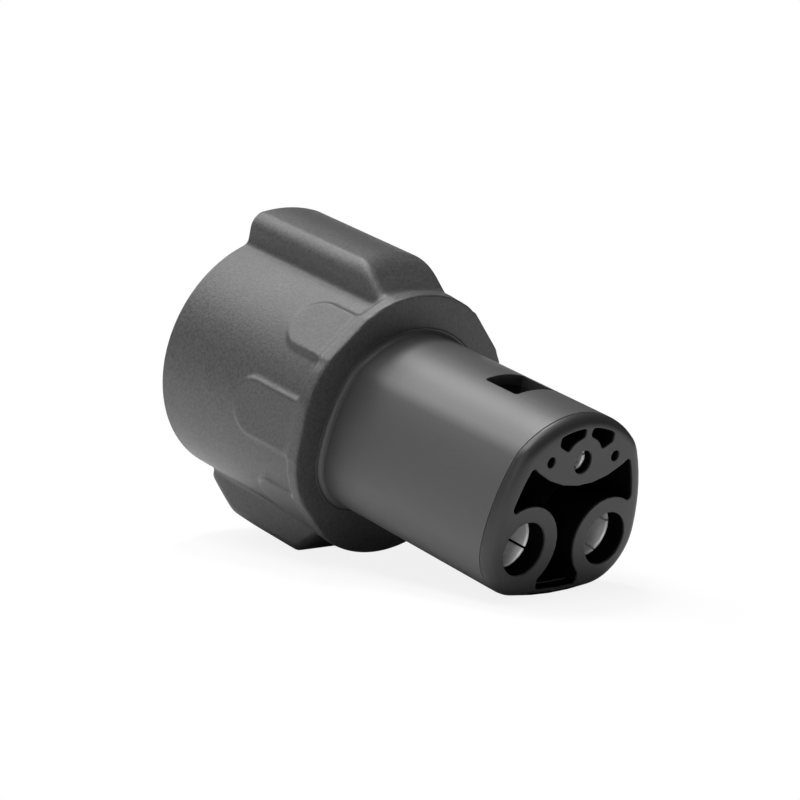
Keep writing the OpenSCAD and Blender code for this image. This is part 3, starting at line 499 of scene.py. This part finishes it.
# The sleeve's root flares out in a small hollow fillet and ends in a thin lip on the flange. Its
# section, as places out from the sleeve and along the axis, is carried round the nose's outline.
flare_r, flare_out, flare_count = 0.95, 1.0, 480
hollow = [(flare_out - flare_r * np.sin(turn), HOUSING_LEN + flare_r * (1.0 - np.cos(turn)))
          for turn in np.radians(np.linspace(0.0, 90.0, 9))]
lip = [(0.02, 44.9), (1.2, 44.9), (1.26, 45.15), (1.2, 45.22), (1.1, 45.22), (1.02, 45.13)]
flare_section = lip + hollow[1:] + [(-0.1, 46.2), (-0.1, 44.9)]
flare_rows = [placed(*nose_outline(out, flare_count).T, np.full(flare_count, at))
              for out, at in flare_section]
flare_mesh = grid_mesh("nose_root_flare", np.stack(flare_rows))
add_piece("nose_root_flare", flare_mesh, nose_plastic, "nose_plastic")


# The recess and the holes in the face stay unlit a little way in, so their walls fade to black
# with depth. The bezel's outer side lies as deep, but it faces away from the axis and stays grey.
FACE_AT = 0.0933
CENTRE_DROP = 0.00135


def about_axis(tree):
    """Distance along the axis from the socket's rim, the way out from a line CENTRE_DROP below the
    axis, and how much a surface faces that way (their dot product), as leads in a finish."""
    place = add_node(tree, "ShaderNodeTexCoord", output=3)
    from_rim = place.node("ShaderNodeVectorMath", {"operation": "SUBTRACT"},
                          {0: place, 1: tuple(map(float, RIM_CENTRE - CENTRE_DROP * UPWARD))})
    along = place.node("ShaderNodeVectorMath", {"operation": "DOT_PRODUCT"},
                       {0: from_rim, 1: tuple(map(float, AXIS))}, output=1)
    on_axis = place.node("ShaderNodeVectorMath", {"operation": "SCALE"},
                         {0: tuple(map(float, AXIS)), "Scale": along})
    outward = place.node("ShaderNodeVectorMath", {"operation": "SUBTRACT"},
                         {0: from_rim, 1: on_axis})
    faces_out = place.node("ShaderNodeVectorMath", {"operation": "DOT_PRODUCT"},
                           {0: outward, 1: place.node("ShaderNodeNewGeometry", output=3)}, output=1)
    return along, outward, faces_out


def mix_in(tree, amount, other):
    """Mixes a finish's own shader with another by an amount from 0 to 1."""
    own = Lead(tree, tree.nodes["Principled BSDF"].outputs[0])
    mixed = amount.node("ShaderNodeMixShader", {}, {0: amount, 1: own, 2: other})
    tree.links.new(mixed.socket, tree.nodes["Material Output"].inputs["Surface"])


def unlit_where(tree, amount):
    """Turns a finish to a plain black by an amount from 0 to 1."""
    mix_in(tree, amount, amount.node("ShaderNodeBsdfDiffuse", {}, {"Color": tone(0.004)}))


least_outward, bezel_r, rise_share = 0.002, 0.0156, 0.12
fade_start, fade_end = 0.0002, 0.0006
along, outward, faces_out = about_axis(face_plastic.node_tree)
from_axis = outward.node("ShaderNodeVectorMath", {"operation": "LENGTH"}, {0: outward}, output=1)
above = outward.node("ShaderNodeVectorMath", {"operation": "DOT_PRODUCT"},
                     {0: outward, 1: tuple(map(float, UPWARD))}, output=1)
rise = above.maths("MAXIMUM", above, 0.0)
turned_out = faces_out.maths("GREATER_THAN", faces_out, least_outward)
on_bezel = from_axis.maths("GREATER_THAN", from_axis - rise_share * rise, bezel_r)
depth = along.node("ShaderNodeMapRange", {"interpolation_type": "SMOOTHSTEP"},
                   {"Value": FACE_AT - along, "From Min": fade_start, "From Max": fade_end})
unlit_where(face_plastic.node_tree, depth * (1.0 - turned_out * on_bezel))

# The sleeve's inner wall, which shows at the bottom of the recess, is unlit too.
inner_wall = -0.008
along, outward, faces_out = about_axis(nose_plastic.node_tree)
unlit_where(nose_plastic.node_tree, faces_out.maths("LESS_THAN", faces_out, inner_wall))


# Seals. A gasket behind the front wall and a ring in the carrier's groove, moulded in matt black
# rubber with a bloom that lightens it here and there.
seal_rubber = grained_plastic("seal_rubber", dark=tone(0.018), light=tone(0.03),
                              grain_size=0.0006, grain_depth=0.00002, edge=0.0001, rough=0.75)
dress(["nose_seal", "carrier_seal"], seal_rubber)


# Pins and contacts. Turned brass with a silver plate, and the fine rings that the tool leaves
# run round each one. Contacts are split into tines, which a spring ring holds together.
def turned_metal(name, bright, dull, ring_pitch, rough, metallic=1.0):
    """Turned metal: ring height is a wave of the distance along the adapter's axis, colour and
    roughness drift between bright and dull with a slow noise, as a thin tarnish does."""
    finish, shader, place = new_finish(name, {"Metallic": metallic})
    along = place.node("ShaderNodeVectorMath", {"operation": "DOT_PRODUCT"},
                       {0: place, 1: tuple(AXIS)}, output=1)
    drift = place.node("ShaderNodeTexNoise", {}, {"Vector": place, "Scale": 160.0, "Detail": 2.0})
    wobble = along + drift * (ring_pitch * 0.6)
    rings = along.node("ShaderNodeMath", {"operation": "SINE"},
                       {0: wobble * float(2.0 * np.pi / ring_pitch)})
    colour = drift.node("ShaderNodeValToRGB", {"stops": [(0.3, dull), (0.62, bright)]},
                        {"Fac": drift})
    soft_edge = place.node("ShaderNodeBevel", {"samples": 4}, {"Radius": 0.00012})
    bumped = rings.node("ShaderNodeBump", {}, {"Strength": 0.35, "Distance": 0.000008,
                                                "Height": rings, "Normal": soft_edge})
    feed(shader, Base_Color=colour, Normal=bumped, Roughness=drift * 0.2 + (rough - 0.1))
    return finish


contact_metal = turned_metal("contact_metal", bright=(0.92, 0.92, 0.92, 1.0),
                             dull=(0.84, 0.84, 0.84, 1.0), ring_pitch=0.00022, rough=0.45,
                             metallic=0.25)
dress(["line_pin_left", "line_pin_right", "ground_pin", "pilot_pin", "proximity_pin",
       "power_socket_left", "power_socket_right", "ground_socket", "pilot_socket",
       "proximity_socket"], contact_metal)


# Spring rings and fixing screws. The rings are bent from bright steel strip and clip round the
# power contacts; the countersunk screws are steel too, and hold the pin carrier in the housing.
spring_steel = turned_metal("spring_steel", bright=(0.62, 0.62, 0.64, 1.0),
                            dull=(0.42, 0.42, 0.44, 1.0), ring_pitch=0.0003, rough=0.33)
dress(["tine_spring_left", "tine_spring_right", "fixing_screws"], spring_steel)

# Links. Strips of bare copper, cut and folded, that join each pin to its contact in the nose and
# sit on both with a lug.
link_copper = turned_metal("link_copper", bright=(0.86, 0.48, 0.33, 1.0),
                           dull=(0.55, 0.28, 0.18, 1.0), ring_pitch=0.0009, rough=0.35)
dress(["line_link_left", "line_link_right", "ground_link", "pilot_link", "proximity_link"],
      link_copper)


# Studio air and floor. The air shows white to the camera and hardly lights the object. The floor is
# white paint that takes the shadow near the object and shows plain white further out.
world = bpy.data.worlds.new("studio_air")
world.use_nodes = True
bpy.context.scene.world = world
air = world.node_tree
sky = air.nodes["Background"]
sky.inputs["Color"].default_value = (1.0, 1.0, 1.0, 1.0)
air_light, air_seen = 0.02, 1.0
ray = add_node(air, "ShaderNodeLightPath")
seen = ray.node("ShaderNodeMix", {"data_type": "FLOAT"}, {0: ray, 2: air_light, 3: air_seen})
air.links.new(seen.socket, sky.inputs["Strength"])

floor_mesh = bpy.data.meshes.new("floor")
floor_half = 3.0
floor_mesh.from_pydata([(-floor_half, -floor_half, 0.0), (floor_half, -floor_half, 0.0),
                        (floor_half, floor_half, 0.0), (-floor_half, floor_half, 0.0)],
                       [], [(0, 1, 2, 3)])
floor = bpy.data.objects.new("floor", floor_mesh)
bpy.context.scene.collection.objects.link(floor)
floor_paint, _, place = new_finish("floor_paint", {"Base Color": (0.9, 0.9, 0.9, 1.0),
                                                   "Roughness": 0.9})
seen = place.node("ShaderNodeLightPath")
distance = place.node("ShaderNodeVectorMath", {"operation": "LENGTH"}, {0: place}, output=1)
far = place.node("ShaderNodeMapRange", {"interpolation_type": "SMOOTHSTEP"},
                 {"Value": distance, "From Min": 0.04, "From Max": 0.2,
                  "To Min": 0.86, "To Max": 1.0})
white = place.node("ShaderNodeEmission", {}, {"Color": (1.0, 1.0, 1.0, 1.0), "Strength": 1.0})
mix_in(floor_paint.node_tree, seen * far, white)
floor_mesh.materials.append(floor_paint)


# Lamps. Soft boxes round the object, 0.7 m and a little more from it: wide ones above and behind,
# smaller ones over the rib and the nose for the streaks on them, weak ones low on the left and in
# front, and one that reaches only the three large contacts in their dark holes.
def soft_lamp(name, at, aim, width, height, watts):
    """A rectangular area lamp at one point, turned towards another."""
    data = bpy.data.lights.new(name, "AREA")
    data.shape, data.size, data.size_y, data.energy = "RECTANGLE", width, height, watts
    lamp = bpy.data.objects.new(name, data)
    away = Vector(at) - Vector(aim)
    lamp.matrix_world = Matrix.LocRotScale(at, away.to_track_quat("Z", "Y"), None)
    bpy.context.scene.collection.objects.link(lamp)
    return lamp


middle, lamp_distance = np.array([0.0, 0.0, 0.03]), 0.7
toward_right, toward_camera, overhead = map(np.array, (camera_right, camera_back, (0.0, 0.0, 1.0)))
for name, right, up, near, size, watts in (
        ("lamp_back_left", -0.6, 0.8, -0.35, (0.5, 0.4), 2.8),
        ("lamp_above", 0.0, 1.0, 0.0, (0.6, 0.6), 1.2),
        ("lamp_left", -0.35, 1.0, 0.1, (0.3, 0.3), 0.7),
        ("lamp_left_low", -1.0, 0.12, 0.25, (0.4, 0.3), 0.25),
        ("lamp_over_nose", -0.2, 1.0, 0.4, (0.26, 0.26), 1.9),
        ("lamp_over_rib", -0.1, 1.0, -0.3, (0.18, 0.18), 2.2),
        ("lamp_front", -0.2, 0.25, 1.0, (0.3, 0.3), 0.55),
        ("lamp_in_contacts", -0.25, 0.25, 1.0, (0.3, 0.3), 4.0),
        ("lamp_behind", -0.2, 0.15, -1.0, (0.5, 0.3), 0.7)):
    at = middle + lamp_distance * (right * toward_right + up * overhead + near * toward_camera)
    lamp = soft_lamp(name, tuple(at), tuple(middle), *size, watts)
    if name == "lamp_in_contacts":
        contacts = bpy.data.collections.new("contacts")
        for node_name in ("power_socket_left", "power_socket_right", "ground_socket"):
            contacts.objects.link(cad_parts[node_name])
        lamp.light_linking.receiver_collection = contacts

bpy.context.scene.view_settings.view_transform = "Standard"
